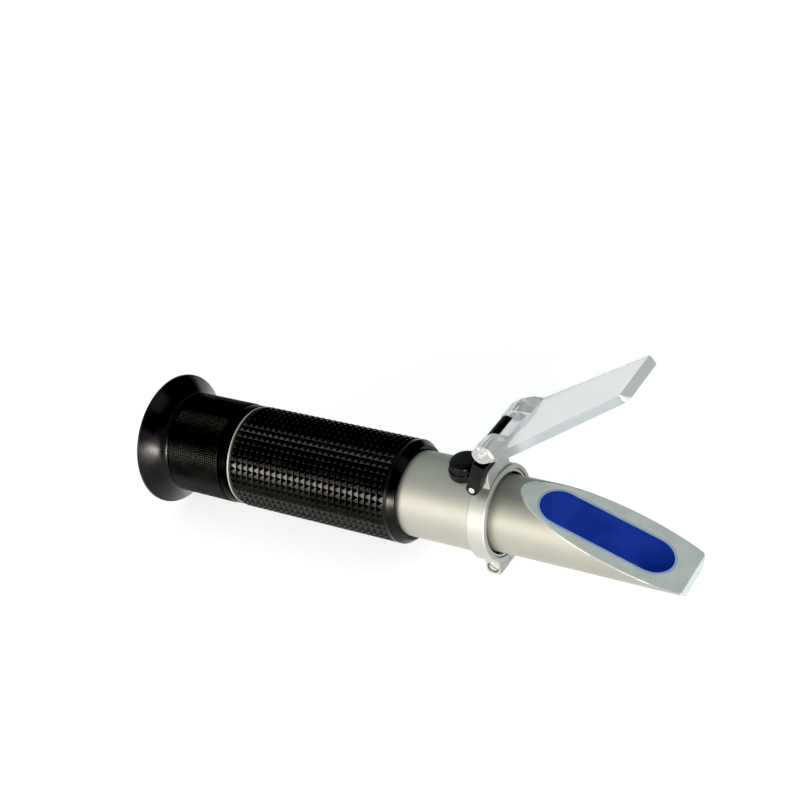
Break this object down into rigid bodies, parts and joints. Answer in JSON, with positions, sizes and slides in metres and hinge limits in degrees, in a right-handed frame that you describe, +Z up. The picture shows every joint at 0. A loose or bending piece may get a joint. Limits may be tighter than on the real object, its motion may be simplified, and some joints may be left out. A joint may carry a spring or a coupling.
{
  "type": "handheld refractometer",
  "caption": "Handheld refractometer: rubber eyecup, turning focus ring, pyramid-pattern grip, satin barrel with clamp, oblique prism head and hinged clear cover.",
  "frame": {"origin": "centre of the bounding box in plan, at the height of the eyecup rim's lowest point", "axes": "+X along the tube from the eyecup to the prism's front edge, +Z up through the cover's hinge, Y across along the hinge pins"},
  "size_m": [0.1648, 0.0386, 0.0718],
  "materials": {
    "satin_aluminium": "satin, fine lines round the tube",
    "head_aluminium": "satin",
    "grip_rubber": "moulded pyramids, slight sheen",
    "soft_rubber": "smooth satin",
    "black_anodised": "black anodised",
    "steel": "turned",
    "black_plastic": "moulded",
    "clear_acrylic": "clear, polished faces",
    "prism_glass": "polished, deep blue",
    "lens_glass": "polished",
    "seal": "thin cement line"
  },
  "bodies": {
    "root": {"barrel_tube": "satin_aluminium", "grip_sleeve": "grip_rubber", "eyepiece_socket": "black_anodised", "stop_collar": "black_anodised", "spacer_ring": "satin_aluminium", "focus_guide_pin": "steel", "focus_o_ring": "soft_rubber", "reticle_holder": "black_anodised", "reticle": "lens_glass", "light_baffle": "black_anodised", "objective_spring": "steel", "calibration_bush": "satin_aluminium", "prism_head": "head_aluminium", "main_prism": "prism_glass", "prism_seal": "seal", "clamp_ring": "satin_aluminium", "clamp_screw": "steel", "link_pin": "steel"},
    "lens_cell": {"lens_cell": "black_anodised", "eye_lens": "lens_glass", "field_lens": "lens_glass", "lens_spacer": "black_anodised", "lens_retainer": "black_anodised"},
    "focus": {"focus_ring": "black_anodised", "eyecup": "soft_rubber"},
    "link": {"cover_link": "black_plastic", "cover_pin": "steel"},
    "cover": {"cover_plate": "clear_acrylic"},
    "calibration_screw": {"calibration_screw": "steel"},
    "objective": {"objective_cell": "black_anodised", "objective_lens": "lens_glass"},
    "cap": {"calibration_cap": "soft_rubber"}
  },
  "joints": [
    {"name": "focus_turn", "type": "hinge", "parent": "lens_cell", "child": "focus", "pos_m": [-0.06535, 0, 0.0193], "axis": [1, 0, 0], "range_deg": [0, 300]},
    {"name": "focus_travel", "type": "slide", "parent": "root", "child": "lens_cell", "axis": [-1, 0, 0], "range_m": [0, 0.004]},
    {"name": "link_hinge", "type": "hinge", "parent": "root", "child": "link", "pos_m": [0.02705, 0, 0.0335], "axis": [0, 1, 0], "range_deg": [-20, 77.3]},
    {"name": "cover_hinge", "type": "hinge", "parent": "link", "child": "cover", "pos_m": [0.03205, 0, 0.0462], "axis": [0, 1, 0], "range_deg": [-24.3, 6.3]},
    {"name": "cap_lift", "type": "slide", "parent": "root", "child": "cap", "axis": [0, 0, 1], "range_m": [0, 0.003]},
    {"name": "calibration_turn", "type": "hinge", "parent": "root", "child": "calibration_screw", "pos_m": [0.01975, 0, 0.0308], "axis": [0, 0, 1], "range_deg": [-180, 180]},
    {"name": "objective_shift", "type": "slide", "parent": "root", "child": "objective", "axis": [0, 0, 1], "range_m": [-0.000175, 0.000175]}
  ],
  "couplings": [
    {"joint": "focus_turn", "follows": "focus_travel", "rad_per_m": 1308.9},
    {"joint": "cover_hinge", "follows": "link_hinge", "ratio": -0.31371},
    {"joint": "calibration_turn", "follows": "objective_shift", "rad_per_m": 17950}
  ]
}
